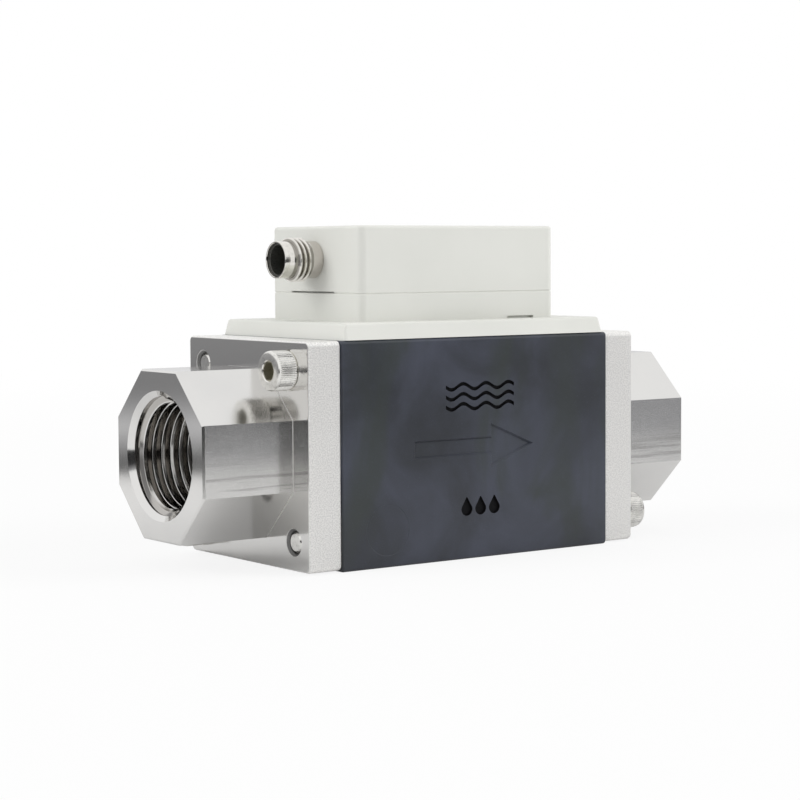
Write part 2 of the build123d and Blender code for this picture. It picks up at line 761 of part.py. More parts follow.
with BuildPart() as connector_shell:
    with BuildSketch(connector_plane):
        with BuildLine():
            Polyline(
                (shank_end, connector_core_radius),
                (shank_end, connector_shank_radius),
                (wall_face, connector_shank_radius),
                (wall_face, connector_collar_radius),
                (wall_face + connector_collar_length, connector_collar_radius),
                (wall_face + connector_collar_length, connector_thread_radius),
                (wall_face + connector_thread_end, connector_thread_radius),
                (wall_face + connector_thread_end, connector_nose_radius),
                (wall_face + nose_groove_place, connector_nose_radius),
                (wall_face + nose_groove_place, connector_nose_radius - nose_groove_depth),
                (wall_face + nose_groove_place + nose_groove_width, connector_nose_radius - nose_groove_depth),
                (wall_face + nose_groove_place + nose_groove_width, connector_nose_radius),
                (wall_face + connector_reach, connector_nose_radius),
                (wall_face + connector_reach, connector_socket_radius),
                (insert_seat, connector_socket_radius),
                (insert_seat, connector_core_radius),
                close=True,
            )
        make_face()
    revolve(axis=connector_axis)
    thread_rims = connector_shell.edges().filter_by(GeomType.CIRCLE)
    thread_rims = thread_rims.filter_by(lambda e: abs(e.radius - connector_thread_radius) < 0.001)
    chamfer(thread_rims, connector_thread_chamfer)
label_and_save(connector_shell.part, "connector_shell")


# Insulating insert that carries the contacts and lines the socket
def contact_grid():
    """The four contacts, two over two, round the middle."""
    return GridLocations(2 * contact_offset, 2 * contact_offset, 2, 2)


with BuildPart() as connector_insert:
    with BuildSketch(connector_plane):
        with BuildLine():
            Polyline(
                (shank_end, 0),
                (shank_end, connector_core_radius - connector_gap),
                (insert_seat, connector_core_radius - connector_gap),
                (insert_seat, sleeve_radius),
                (sleeve_end, sleeve_radius),
                (sleeve_end, sleeve_radius - insert_sleeve_wall),
                (socket_floor, sleeve_radius - insert_sleeve_wall),
                (socket_floor, 0),
                close=True,
            )
        make_face()
    revolve(axis=connector_axis)
    with BuildSketch(Plane.YZ.offset(-socket_floor)):
        with Locations((connector_y, connector_z)):
            with contact_grid():
                Circle(contact_radius)
    extrude(amount=socket_floor - shank_end, mode=Mode.SUBTRACT)
label_and_save(connector_insert.part, "connector_insert")

with BuildPart() as contact_pins:
    with BuildSketch(Plane.YZ.offset(-wall_face - contact_reach)):
        with Locations((connector_y, connector_z)):
            with contact_grid():
                Circle(contact_radius)
    extrude(amount=wall_face + contact_reach - shank_end + contact_tail)
    pin_tips = contact_pins.edges().filter_by(GeomType.CIRCLE).group_by(Axis.X)[0]
    fillet(pin_tips, contact_radius / 2)
label_and_save(contact_pins.part, "contact_pins")

# Sealing washer and nut inside the cover's wall
with BuildPart() as connector_washer:
    with BuildSketch(Plane.YZ.offset(-inner_end)):
        with Locations((connector_y, connector_z)):
            Circle(connector_washer_radius)
            Circle(connector_hole_radius, mode=Mode.SUBTRACT)
    extrude(amount=connector_washer_thickness)
label_and_save(connector_washer.part, "connector_washer")

with BuildPart() as connector_nut:
    with BuildSketch(Plane.YZ.offset(-inner_end + connector_washer_thickness)):
        with Locations((connector_y, connector_z)):
            RegularPolygon(connector_nut_flats / 2, 6, major_radius=False)
            Circle(connector_hole_radius, mode=Mode.SUBTRACT)
    extrude(amount=connector_nut_thickness)
label_and_save(connector_nut.part, "connector_nut")

# Wires from the contacts down to a block on the board, in two rows
tail_end = -shank_end + contact_tail
block_top = board_top + wire_block_height
row_low = connector_z - contact_offset
row_high = connector_z + contact_offset
wire_x_low = tail_end + wire_run
wire_x_high = wire_x_low + 2 * contact_offset
wire_rows = [(row_low, wire_x_low), (row_high, wire_x_high)]
wire_sides = [connector_y - contact_offset, connector_y + contact_offset]

wires = []
for row_z, drop_x in wire_rows:
    for wire_y in wire_sides:
        with BuildPart() as wire:
            with BuildLine() as route:
                bend = 0.7 * min(drop_x - tail_end, row_z - block_top)
                FilletPolyline(
                    (tail_end, wire_y, row_z),
                    (drop_x, wire_y, row_z),
                    (drop_x, wire_y, board_top),
                    radius=bend,
                )
            with BuildSketch(Plane(route.line @ 0, z_dir=route.line % 0)):
                Circle(wire_radius)
            sweep()
        wires.append(wire.part)

with BuildPart() as signal_wires:
    for wire_part in wires:
        add(wire_part)
label_and_save(signal_wires.part, "signal_wires")

with BuildPart() as wire_block:
    block_x = (wire_x_low + wire_x_high) / 2
    block_side = 2 * (contact_offset + wire_radius + wire_block_wall)
    with BuildSketch(Plane.XY.offset(board_top)):
        with Locations((block_x, connector_y)):
            Rectangle(block_side, block_side)
            with contact_grid():
                Circle(wire_radius, mode=Mode.SUBTRACT)
    extrude(amount=wire_block_height)
label_and_save(wire_block.part, "wire_block")

# Storage capacitors, two upright cans beside the processor
with BuildPart() as capacitors:
    with BuildSketch(Plane.XY.offset(board_top)):
        with Locations((capacitor_x, 0)):
            with GridLocations(0, 2 * capacitor_y, 1, 2):
                Circle(capacitor_radius)
    extrude(amount=capacitor_height)
    can_rims = capacitors.edges().filter_by(GeomType.CIRCLE).group_by(Axis.Z)[-1]
    fillet(can_rims, capacitor_radius / 5)
label_and_save(capacitors.part, "capacitors")
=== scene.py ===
# %% [markdown]
# # A vortex flow meter, dressed in Blender
#
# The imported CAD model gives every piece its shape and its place. This lesson adds what the CAD model leaves
# out: the threads in the ports, the knurl of the screws, the signs moulded into the body, and a finish for
# every surface. Everything is in metres, in the CAD model's own frame: X runs with the flow, -Y is the front
# and Z is up.

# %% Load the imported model
import json
import math

import bmesh
import bpy
from mathutils import Euler, Matrix, Vector


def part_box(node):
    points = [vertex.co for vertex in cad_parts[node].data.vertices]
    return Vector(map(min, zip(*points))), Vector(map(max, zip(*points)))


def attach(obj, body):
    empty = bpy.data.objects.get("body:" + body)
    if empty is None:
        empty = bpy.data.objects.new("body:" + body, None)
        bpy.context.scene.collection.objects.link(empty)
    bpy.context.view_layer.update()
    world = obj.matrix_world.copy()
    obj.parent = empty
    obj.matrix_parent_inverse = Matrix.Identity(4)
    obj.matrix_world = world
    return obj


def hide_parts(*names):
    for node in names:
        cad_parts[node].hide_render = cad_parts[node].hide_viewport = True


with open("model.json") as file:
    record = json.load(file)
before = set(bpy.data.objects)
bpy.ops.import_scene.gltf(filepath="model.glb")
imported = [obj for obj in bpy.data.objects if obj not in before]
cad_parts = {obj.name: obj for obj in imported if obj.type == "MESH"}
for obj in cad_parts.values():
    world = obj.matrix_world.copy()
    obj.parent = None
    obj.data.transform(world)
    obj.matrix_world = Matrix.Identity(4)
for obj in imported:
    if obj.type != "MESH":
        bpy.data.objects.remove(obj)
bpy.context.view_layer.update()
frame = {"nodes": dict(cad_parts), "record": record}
nodes = frame["nodes"]
mm = 0.001


def add_object(name, data):
    """A new object in the scene."""
    made = bpy.data.objects.new(name, data)
    bpy.context.scene.collection.objects.link(made)
    return made


# %% [markdown]
# The new pieces are placed by sizes that are read from the CAD nodes, so that they stay in place when a size
# changes there. Only sizes that a box can't tell are written down again: the plate's thickness, the screws'
# distance from its edge, and the sizes of the threads and screws.

# %% Read the places from the nodes
inlet_low, inlet_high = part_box("inlet_fitting")
port_face = -inlet_low.x
body_end = -inlet_high.x
axis_z = (inlet_low.z + inlet_high.z) / 2
plate_thickness = 6.7 * mm
plate_face = body_end + plate_thickness
screw_edge_distance = 5.0 * mm
screw_half = (inlet_high.y - inlet_low.y) / 2 - screw_edge_distance
front_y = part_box("flow_body")[0].y
shell_low, shell_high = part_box("connector_shell")
connector_y = (shell_low.y + shell_high.y) / 2
connector_z = (shell_low.z + shell_high.z) / 2
head_end = -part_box("upper_cover")[0].x
print("port face", round(port_face / mm, 2), "plate face", round(plate_face / mm, 2))

# %% Standard sizes of the threads
port_pitch = 1.814 * mm
groove_radius = 10.4775 * mm
crest_radius = 9.3155 * mm
mouth_radius = 11.45 * mm
screw_mouth_radius = 2.40 * mm
nut_pitch = 1.0 * mm
nut_crest = 4.0 * mm
nut_groove = 3.40 * mm
nut_thread_from = 2.2 * mm
nut_thread_to = 6.0 * mm

# %% [markdown]
# ## The camera
#
# The photograph was taken from the left front, a little above the table, with a long lens. The place, the
# three angles and the focal length below were fitted to the corners of the object, so the render lines up
# with the photograph.

# %% Camera
camera_place = (-235.84 * mm, -321.61 * mm, 55.02 * mm)
camera_yaw = 0.6261
camera_pitch = -0.0684
camera_roll = 0.0057
focal_pixels = 2118.0
photo_pixels = 800
sensor_width = 36.0

camera_data = bpy.data.cameras.new("photo_camera")
camera_data.sensor_width = sensor_width
camera_data.lens = focal_pixels / photo_pixels * sensor_width
camera_data.clip_start = 0.01
camera_data.clip_end = 50
camera = add_object("photo_camera", camera_data)
camera_turn = Euler((math.pi / 2 + camera_pitch, 0, -camera_yaw)).to_matrix()
camera_turn = camera_turn @ Matrix.Rotation(-camera_roll, 3, "Z")
camera.matrix_world = Matrix.Translation(camera_place) @ camera_turn.to_4x4()
bpy.context.scene.camera = camera
print("lens", round(camera_data.lens, 1), "mm")

# %% [markdown]
# ## Shader maths
#
# A material is a graph of nodes, which is slow to write one link at a time. The class below holds one output
# socket and gives it Python's own signs, so `0.4 + grain * 0.2` adds the Math nodes by itself. Every other
# node comes from `node`, which sets the node's settings first and then its sockets.


# %% A socket that can be added and multiplied
def plug(tree, socket, value):
    """Links a Wire to a socket, or writes a plain value into it."""
    if isinstance(value, Wire):
        tree.links.new(value.socket, socket)
    else:
        socket.default_value = value


class Wire:
    """One output socket of a node tree, or only the tree while the socket is None."""

    def __init__(self, tree, socket=None):
        self.tree = tree
        self.socket = socket

    def node(self, kind, settings=None, sockets=None, output=0):
        made = self.tree.nodes.new(kind)
        for name, value in (settings or {}).items():
            if name == "stops":
                set_stops(made.color_ramp.elements, value)
            else:
                setattr(made, name, value)
        for name, value in (sockets or {}).items():
            plug(self.tree, made.inputs[name], value)
        return Wire(self.tree, made.outputs[output])

    def maths(self, operation, first, second=0.0):
        return self.node("ShaderNodeMath", {"operation": operation}, {0: first, 1: second})

    def __add__(self, other):
        return self.maths("ADD", self, other)

    def __sub__(self, other):
        return self.maths("SUBTRACT", self, other)

    def __rsub__(self, other):
        return self.maths("SUBTRACT", other, self)

    def __mul__(self, other):
        return self.maths("MULTIPLY", self, other)

    def __truediv__(self, other):
        return self.maths("DIVIDE", self, other)

    def __pow__(self, other):
        return self.maths("POWER", self, other)

    def __abs__(self):
        return self.maths("ABSOLUTE", self)

    __radd__ = __add__


def set_stops(elements, stops):
    """Gives a colour ramp its stops, each a place from 0 to 1 and a colour."""
    while len(elements) > 1:
        elements.remove(elements[-1])
    elements[0].position, elements[0].color = stops[0]
    for place, colour in stops[1:]:
        elements.new(place).color = colour


# %% [markdown]
# A finish starts as an empty material. These helpers give what nearly every finish needs: the place of the
# point on the object, the direction that its surface faces, soft noise, and a mix of two colours.


# %% Helpers for finishes
bump_strength = 0.5


def new_finish(name):
    """A material with its principled shader, and a Wire on its tree."""
    material = bpy.data.materials.new(name)
    material.use_nodes = True
    return material, Wire(material.node_tree)


def set_skin(material, **values):
    """Sets sockets of the principled shader; an underscore in a name stands for a space."""
    skin = material.node_tree.nodes["Principled BSDF"]
    for name, value in values.items():
        plug(material.node_tree, skin.inputs[name.replace("_", " ")], value)
    return material


def place_of(wire):
    """The point's place on the object, in metres."""
    return wire.node("ShaderNodeTexCoord", output="Object")


def parts_of(vector):
    """The three numbers of a vector."""
    split = vector.node("ShaderNodeSeparateXYZ", None, {0: vector})
    made = split.socket.node
    return [Wire(vector.tree, made.outputs[k]) for k in range(3)]


def facing(wire):
    """How far the surface faces along X, Y and Z."""
    return parts_of(wire.node("ShaderNodeNewGeometry", output="Normal"))


def stretched(vector, scale):
    """The same place with its axes scaled, for patterns that are longer one way."""
    return vector.node("ShaderNodeMapping", {"vector_type": "POINT"}, {"Vector": vector, "Scale": scale})


def noise(vector, scale, detail, roughness, distortion=0.0):
    """Soft noise from 0 to 1 with a grain of 1/scale metres."""
    sockets = {"Vector": vector, "Scale": scale, "Detail": detail, "Roughness": roughness}
    return vector.node("ShaderNodeTexNoise", None, {**sockets, "Distortion": distortion})


def fade(value, low, high, to_low=0.0, to_high=1.0):
    """Takes low..high smoothly to to_low..to_high and stops there."""
    settings = {"interpolation_type": "SMOOTHSTEP", "clamp": True}
    sockets = {"Value": value, "From Min": low, "From Max": high, "To Min": to_low, "To Max": to_high}
    return value.node("ShaderNodeMapRange", settings, sockets)


def blended(factor, first, second):
    """A mix of two colours, each a Wire or a colour."""
    settings = {"data_type": "RGBA", "clamp_factor": True}
    pair = [tone if isinstance(tone, Wire) else (*tone[:3], 1.0) for tone in (first, second)]
    return factor.node("ShaderNodeMix", settings, {0: factor, 6: pair[0], 7: pair[1]}, output=2)


def bumped(height, depth):
    """A normal that is tilted by a height; depth is the height's real size in metres."""
    sockets = {"Height": height, "Distance": depth, "Strength": bump_strength}
    return height.node("ShaderNodeBump", None, sockets)


# %% [markdown]
# ## Stainless steel of the two port fittings
#
# A fitting is one piece of steel, but not one finish. The rim of the plate is bead-blasted to a bright, sandy
# grey. The face of the plate is ground nearly to a mirror. The flats of the octagon are milled, and the two
# upright ones are grained, with a speckled, painted dark reflection above the middle. The end face is turned,
# with fine rings round the mouth. Painted shade darkens the mouths of the screw holes and the thread's
# grooves.
# The finish picks between them by the direction that the surface faces and by its distance from the axis.


# %% Stainless finish
def stainless():
    material, wire = new_finish("stainless_fitting")
    place = place_of(wire)
    x, y, z = parts_of(place)
    face_x, face_y, _ = facing(wire)
    radius = (y * y + (z - axis_z) ** 2.0) ** 0.5

    # Zones, each 1 inside and 0 outside
    is_end = fade(abs(face_x), 0.80, 0.92)
    is_port = fade(abs(x), plate_face + 0.05 * mm, plate_face + 0.15 * mm)
    is_bore = fade(radius, mouth_radius + 0.25 * mm, mouth_radius - 0.05 * mm) * is_port
    rim = (1.0 - is_end) * (1.0 - is_port)
    flats = (1.0 - is_end) * is_port * (1.0 - is_bore)
    grained = flats * fade(abs(face_y), 0.85, 0.95)
    # The upper half of the upright flats, which gets a painted dark reflection
    upper_flat_painted_reflection = grained * fade(z, axis_z - 3.0 * mm, axis_z + 2.0 * mm)
    hole_y, hole_z = abs(y) - screw_half, abs(z - axis_z) - screw_half
    from_hole = (hole_y * hole_y + hole_z * hole_z) ** 0.5
    # Painted shade round the mouths of the screw holes, by the distance from each hole's axis
    hole_mouth_painted_shade = fade(from_hole, screw_mouth_radius + 0.10 * mm, screw_mouth_radius - 0.05 * mm)
    # The flanks and roots of the pipe thread, which get a painted shade
    in_thread = fade(radius, groove_radius + 0.073 * mm, groove_radius - 0.077 * mm) * is_port
    below_crest = fade(radius, crest_radius + 0.035 * mm, crest_radius + 0.285 * mm)

    # Patterns
    sand = noise(place, 4200, 2, 0.6)
    sparkle = noise(place, 8000, 1, 0.5)
    grain = noise(place, 9000, 2, 0.6)
    speckle = noise(place, 3600, 2, 0.7)
    lay = noise(stretched(place, (0.05, 1.0, 1.0)), 2200, 3, 0.6)
    streaks = noise(stretched(place, (0.02, 1.0, 1.0)), 1500, 3, 0.7)
    scuffs = noise(stretched(place, (0.25, 1.0, 1.0)), 420, 4, 0.6, 0.4)
    clouds = noise(place, 95, 3, 0.5)
    ring_place = wire.node("ShaderNodeCombineXYZ", None, {0: radius, 1: x})
    rings = noise(ring_place, 3400, 2, 0.6)

    # Roughness and relief
    rough = 0.11 + rim * 0.36 + flats * 0.05 + grained * 0.05 + is_end * is_port * 0.01
    rough = rough + (sand - 0.5) * (rim * 0.25) + (grain - 0.5) * (grained * 0.50) + (clouds - 0.5) * 0.08
    height = sand * rim * 1.3 + sparkle * rim * 0.9 + grain * grained * 0.22 + lay * flats * 0.10
    height = height + rings * is_end * is_port * 0.08 + scuffs * (1.0 - rim) * 0.10

    # Colour, one zone over the other
    tone = blended(fade(sand, 0.36, 0.64) * rim, (0.75, 0.742, 0.727), (0.95, 0.94, 0.92))
    # Painted dark reflection, speckled, on the upper half of the upright flats
    tone = blended(upper_flat_painted_reflection * fade(speckle, 0.20, 0.70), tone, (0.50, 0.50, 0.505))
    tone = blended(grained * fade(grain, 0.55, 0.64) * 0.6, tone, (0.92, 0.92, 0.92))
    tone = blended((grained - upper_flat_painted_reflection) * fade(streaks, 0.50, 0.62) * 0.6, tone, (0.45, 0.44, 0.43))
    # Painted shade in the mouths of the screw holes
    tone = blended(hole_mouth_painted_shade * 0.85, tone, (0.10, 0.10, 0.10))
    tone = blended(fade(clouds, 0.35, 0.75) * (1.0 - rim) * 0.20, tone, (0.62, 0.62, 0.625))
    # Painted shade on the flanks and roots of the pipe thread
    tone = blended(in_thread * below_crest * 0.75, tone, (0.40, 0.38, 0.355))
    normal = bumped(height, 0.030 * mm)
    return set_skin(material, Base_Color=tone, Metallic=1.0 - rim * 0.25, Roughness=rough, Normal=normal)


# %% [markdown]
# ## Dark plastic of the flow body
#
# The body is moulded from a dark, glass-filled engineering plastic. Such a skin is never one even grey: where
# the melt cooled at a different pace it is a little bluer, browner or glossier. Large soft clouds change the
# colour and the gloss, and a fine grain breaks up the highlights.


# %% Dark plastic finish
def dark_plastic(name, tone_low, tone_high, tint, gloss):
    material, wire = new_finish(name)
    place = place_of(wire)
    clouds = noise(place, 48, 4, 0.55, 0.6)
    drift = noise(stretched(place, (1.0, 1.0, 0.45)), 70, 3, 0.5, 1.0)
    grain = noise(place, 5200, 2, 0.6)
    skin_waves = noise(place, 420, 2, 0.5)
    tone = blended(fade(clouds, 0.32, 0.70), tone_low, tone_high)
    tone = blended(fade(drift, 0.48, 0.74) * 0.75, tone, tint)
    tone = blended(fade(grain, 0.60, 0.80) * 0.25, tone, [2.2 * part for part in tone_high])
    rough = gloss + (clouds - 0.5) * 0.20 + (grain - 0.5) * 0.10
    normal = bumped(grain * 0.5 + skin_waves * 0.5, 0.018 * mm)
    return set_skin(material, Base_Color=tone, Roughness=rough, Normal=normal)


# %% [markdown]
# ## Light plastic of the electronics housing
#
# The housing is a warm light grey with a fine spark-eroded skin. Its colour hardly changes, so a broad, very
# faint cloud and the fine skin are enough.


# %% Light plastic finish
def light_plastic():
    material, wire = new_finish("housing_grey")
    place = place_of(wire)
    clouds = noise(place, 60, 3, 0.5)
    skin_grain = noise(place, 4200, 2, 0.6)
    tone = blended(fade(clouds, 0.3, 0.7), (0.675, 0.680, 0.640), (0.705, 0.708, 0.668))
    rough = 0.46 + (skin_grain - 0.5) * 0.16
    normal = bumped(skin_grain, 0.012 * mm)
    return set_skin(material, Base_Color=tone, Roughness=rough, Normal=normal)


# %% [markdown]
# ## Plated brass, screw steel and the small hidden parts
#
# The connector is nickel-plated brass, a little warmer and shinier than the fittings. The screws are drawn
# and rolled, so they carry small scratches. One recipe makes every such bright metal, with its own colour,
# gloss and size of scratches.


# %% Bright metal finish
def bright_metal(name, tone, gloss, scratch_scale, wear):
    material, wire = new_finish(name)
    place = place_of(wire)
    scratches = noise(stretched(place, (0.3, 1.0, 1.0)), scratch_scale, 4, 0.65)
    spots = noise(place, 900, 3, 0.6)
    worn_spots_and_painted_groove_shade = [part * 0.72 for part in tone]
    shade = blended(fade(spots, 0.45, 0.75) * wear, tone, worn_spots_and_painted_groove_shade)
    rough = gloss + (scratches - 0.5) * 0.16 + fade(spots, 0.5, 0.8) * (0.15 * wear)
    normal = bumped(scratches * 0.6 + spots * 0.4, 0.012 * mm)
    return set_skin(material, Base_Color=shade, Metallic=1.0, Roughness=rough, Normal=normal)


# %% [markdown]
# Between the crests of the connector's thread the plating gets a painted shade. The same recipe is darkened
# below the crests, by the distance from the connector's axis. The neck between the housing and the thread
# gets a painted brownish reflection.


# %% Nickel with painted shade in the grooves
def nickel_plating():
    material = bright_metal("nickel_plating", (0.78, 0.76, 0.72), 0.12, 1800, 0.45)
    wire = Wire(material.node_tree)
    skin = material.node_tree.nodes["Principled BSDF"]
    plain = Wire(material.node_tree, skin.inputs["Base Color"].links[0].from_socket)
    x, y, z = parts_of(place_of(wire))
    radius = ((y - connector_y) ** 2.0 + (z - connector_z) ** 2.0) ** 0.5
    out = x * -1.0 - head_end
    past_neck = fade(out, nut_thread_from - 0.2 * mm, nut_thread_from)
    before_nose = fade(out, nut_thread_to + 0.3 * mm, nut_thread_to + 0.1 * mm)
    # Painted shade between the crests of the thread
    worn_spots_and_painted_groove_shade = past_neck * before_nose * fade(radius, nut_crest - 0.12 * mm, nut_crest - 0.38 * mm)
    before_thread = fade(out, nut_thread_from - 0.1 * mm, nut_thread_from - 0.3 * mm)
    # The neck, which gets a painted brownish reflection
    neck = before_thread * fade(radius, nut_groove - 0.2 * mm, nut_groove - 0.1 * mm)
    tone = blended(worn_spots_and_painted_groove_shade * 0.8, plain, (0.22, 0.205, 0.18))
    return set_skin(material, Base_Color=blended(neck * 0.6, tone, (0.56, 0.52, 0.49)))


# %% [markdown]
# Rubber, chips, wire sleeves and the lacquered board are plain moulded or coated surfaces. They share one
# recipe too: a base colour that wanders slightly, and a fine skin.


# %% Coated and moulded finish
def plain_skin(name, tone, gloss, grain_scale=3000, wander=0.25):
    material, wire = new_finish(name)
    place = place_of(wire)
    clouds = noise(place, 260, 3, 0.5)
    grain = noise(place, grain_scale, 2, 0.6)
    darker = [part * (1.0 - wander) for part in tone]
    shade = blended(fade(clouds, 0.3, 0.7), darker, tone)
    rough = gloss + (grain - 0.5) * 0.2
    normal = bumped(grain, 0.015 * mm)
    return set_skin(material, Base_Color=shade, Roughness=rough, Normal=normal)


# %% [markdown]
# Each slot of the record gets its finish here, and every CAD node takes the finish of its slot. Nodes that
# are replaced further down pass theirs on to the new piece.

# %% One finish for each slot
finishes = {
    "stainless_casting": stainless(),
    "dark_body_plastic": dark_plastic(
        "body_plastic", (0.024, 0.027, 0.034), (0.050, 0.056, 0.079), (0.029, 0.036, 0.033), 0.36
    ),
    "probe_plastic": dark_plastic(
        "cell_plastic", (0.05, 0.05, 0.055), (0.09, 0.09, 0.1), (0.08, 0.07, 0.07), 0.5
    ),
    "housing_plastic": light_plastic(),
    "screw_steel": bright_metal("screw_steel", (0.80, 0.79, 0.76), 0.20, 2600, 0.7),
    "plated_brass": nickel_plating(),
    "steel_plate": bright_metal("rolled_sheet", (0.62, 0.62, 0.62), 0.32, 1500, 0.6),
    "gilt_contact": bright_metal("gilt_contact", (0.83, 0.62, 0.28), 0.22, 2000, 0.3),
    "can_metal": bright_metal("drawn_can", (0.75, 0.75, 0.77), 0.28, 1600, 0.4),
    "seal_rubber": plain_skin("seal_rubber", (0.022, 0.022, 0.023), 0.62),
    "board_laminate": plain_skin("board_lacquer", (0.030, 0.16, 0.075), 0.32, 1400),
    "chip_plastic": plain_skin("chip_plastic", (0.020, 0.020, 0.022), 0.48),
    "wire_sleeve": plain_skin("wire_sleeve", (0.36, 0.19, 0.08), 0.42),
}
slot_of = {part["node"]: part["material_slot"] for part in frame["record"]["subparts"]}
for name, node in nodes.items():
    node.data.materials.clear()
    node.data.materials.append(finishes[slot_of[name]])
print("finishes", len(finishes), "for", len(slot_of), "nodes")

# %% [markdown]
# ## Smooth copies of the nodes that show
#
# A CAD node comes as loose triangles, so light catches on each of them. A copy with its corners merged can be
# shaded smoothly: edges that are sharper than a limit stay crisp, and the Weighted Normal modifier lets the
# large flat faces win over the small ones of a rounding. The copy then stands for the node.

# %% Helper for smooth copies
crisp_angle = math.radians(28)
merge_distance = 0.0005 * mm


def mark_crisp(mesh_in_work):
    """Shades a bmesh smoothly, apart from its sharp edges."""
    for face in mesh_in_work.faces:
        face.smooth = True
    for edge in mesh_in_work.edges:
        edge.smooth = len(edge.link_faces) == 2 and edge.calc_face_angle(0) < crisp_angle


def finish_piece(mesh_in_work, name, slot, replaced=None):
    """Turns a bmesh into an object that rides on the body and may stand for a node."""
    mesh = bpy.data.meshes.new(name)
    mark_crisp(mesh_in_work)
    mesh_in_work.to_mesh(mesh)
    mesh_in_work.free()
    mesh.materials.append(finishes[slot])
    piece = add_object(name, mesh)
    weights = piece.modifiers.new("flat_faces_win", "WEIGHTED_NORMAL")
    weights.keep_sharp = True
    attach(piece, "root")
    if replaced:
        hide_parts(replaced)
    return piece


def merged_mesh(node_name):
    """A bmesh of a node with its loose triangles joined."""
    merged = bmesh.new()
    merged.from_mesh(nodes[node_name].data)
    bmesh.ops.remove_doubles(merged, verts=merged.verts, dist=merge_distance)
    bmesh.ops.dissolve_degenerate(merged, dist=merge_distance / 10, edges=merged.edges)
    return merged


def pour(part, target):
    """Adds one bmesh to another and frees it."""
    loose = bpy.data.meshes.new("loose")
    part.to_mesh(loose)
    part.free()
    target.from_mesh(loose)
    bpy.data.meshes.remove(loose)


# %% [markdown]
# The housing, its cover, the two fittings, the spring washers and the connector's insert and contacts keep
# their CAD shape. Only the copy's shading differs, and the insert gets a plastic of its own.

# %% Copies that keep their shape
smooth_copies = {
    "inlet_fitting": "inlet_port_piece",
    "outlet_fitting": "outlet_port_piece",
    "lower_housing": "housing_base",
    "upper_cover": "housing_cover",
    "spring_washers": "split_washers",
    "connector_insert": "socket_insert",
    "contact_pins": "socket_contacts",
}
for node_name, piece_name in smooth_copies.items():
    piece = finish_piece(merged_mesh(node_name), piece_name, slot_of[node_name], node_name)
    print(piece_name, len(piece.data.polygons), "faces")
socket_plastic = plain_skin("socket_plastic", (0.050, 0.051, 0.046), 0.30)
bpy.data.objects["socket_insert"].data.materials[0] = socket_plastic

# %% [markdown]
# ## Turned pieces and threads
#
# A lathe makes a round piece from an outline, and so does the spin operator: the outline is drawn once, as
# places along the axis and radii, and spun right round. A thread is a ridge with one cross-section that winds
# along the axis, so it is spun as well, with a small move along the axis at each step. Both are made along +X
# through the origin, and moved to their place at the end.


# %% Helpers for turned pieces
def spin_outline(outline, steps, closed=False):
    """Spins places along X and radii round the X axis into a closed skin."""
    turned = bmesh.new()
    corners = [turned.verts.new((along, 0, radius)) for along, radius in outline]
    pairs = list(zip(corners, corners[1:]))
    if closed:
        pairs.append((corners[-1], corners[0]))
    edges = [turned.edges.new(pair) for pair in pairs]
    bmesh.ops.spin(
        turned,
        geom=corners + edges,
        cent=(0, 0, 0),
        axis=(1, 0, 0),
        angle=2 * math.pi,
        steps=steps,
        use_merge=True,
    )
    bmesh.ops.remove_doubles(turned, verts=turned.verts, dist=merge_distance)
    bmesh.ops.recalc_face_normals(turned, faces=turned.faces)
    return turned


def wind_ridge(section, pitch, turns, steps_per_turn):
    """Winds a closed section of places along X and radii into a right-handed ridge."""
    ridge = bmesh.new()
    corners = [ridge.verts.new((along, 0, radius)) for along, radius in section]
    start = ridge.faces.new(corners)
    steps = int(turns * steps_per_turn)
    bmesh.ops.spin(
        ridge,
        geom=[start] + list(start.edges) + corners,
        cent=(0, 0, 0),
        axis=(1, 0, 0),
        dvec=(pitch / steps_per_turn, 0, 0),
        angle=2 * math.pi * turns,
        steps=steps,
    )
    bmesh.ops.recalc_face_normals(ridge, faces=ridge.faces)
    return ridge


def radius_of(vert):
    return math.hypot(vert.co.y, vert.co.z)


def set_radius(vert, radius):
    """Moves a point straight in or out until it is this far from the X axis."""
    now = radius_of(vert)
    vert.co.y *= radius / now
    vert.co.z *= radius / now


def turned_to(outward_x, face_x, y, z):
    """The move from the lathe's axis to a place whose outward side is -X or +X."""
    turn = Matrix.Rotation(0 if outward_x > 0 else math.pi, 4, "Z")
    return Matrix.Translation((face_x, y, z)) @ turn


# %% [markdown]
# ## The pipe thread in each port
#
# A half-inch pipe thread has a pitch of 1.814 mm and ridges that reach 1.162 mm into the hole, with steep
# flanks and blunted crests. The CAD wall stands where the grooves end, so the ridge is a piece of its own
# with its foot just inside the steel. The countersink at the mouth cuts the first turns at 45 degrees, and
# the last half turn runs out into the wall.

# %% Port threads
foot_radius = 10.56 * mm
thread_start = 1.09 * mm
thread_turns = 7.75
thread_steps = 96
run_out_turns = 0.5
mouth_gap = 0.02 * mm
crest_half = 0.27 * mm
crest_round = 0.09 * mm
foot_half = 0.80 * mm


def port_thread(name, outward_x):
    section = [
        (-foot_half, foot_radius),
        (foot_half, foot_radius),
        (crest_half + crest_round, crest_radius + crest_round),
        (crest_half, crest_radius),
        (-crest_half, crest_radius),
        (-crest_half - crest_round, crest_radius + crest_round),
    ]
    ridge = wind_ridge(section, port_pitch, thread_turns, thread_steps)
    run_out = thread_start + (thread_turns - run_out_turns) * port_pitch
    for vert in ridge.verts:
        depth = vert.co.x + thread_start
        lowest = mouth_radius - depth + mouth_gap
        past = max(0.0, (depth - run_out) / (run_out_turns * port_pitch))
        lowest = max(lowest, crest_radius + min(1.0, past) * (foot_radius - crest_radius))
        if radius_of(vert) < lowest:
            set_radius(vert, lowest)
        vert.co.x = depth
    ridge.transform(turned_to(-outward_x, outward_x * port_face, 0, axis_z))
    return finish_piece(ridge, name, "stainless_casting")


for name, outward_x in (("inlet_thread", -1), ("outlet_thread", 1)):
    piece = port_thread(name, outward_x)
    print(name, len(piece.data.polygons), "faces")
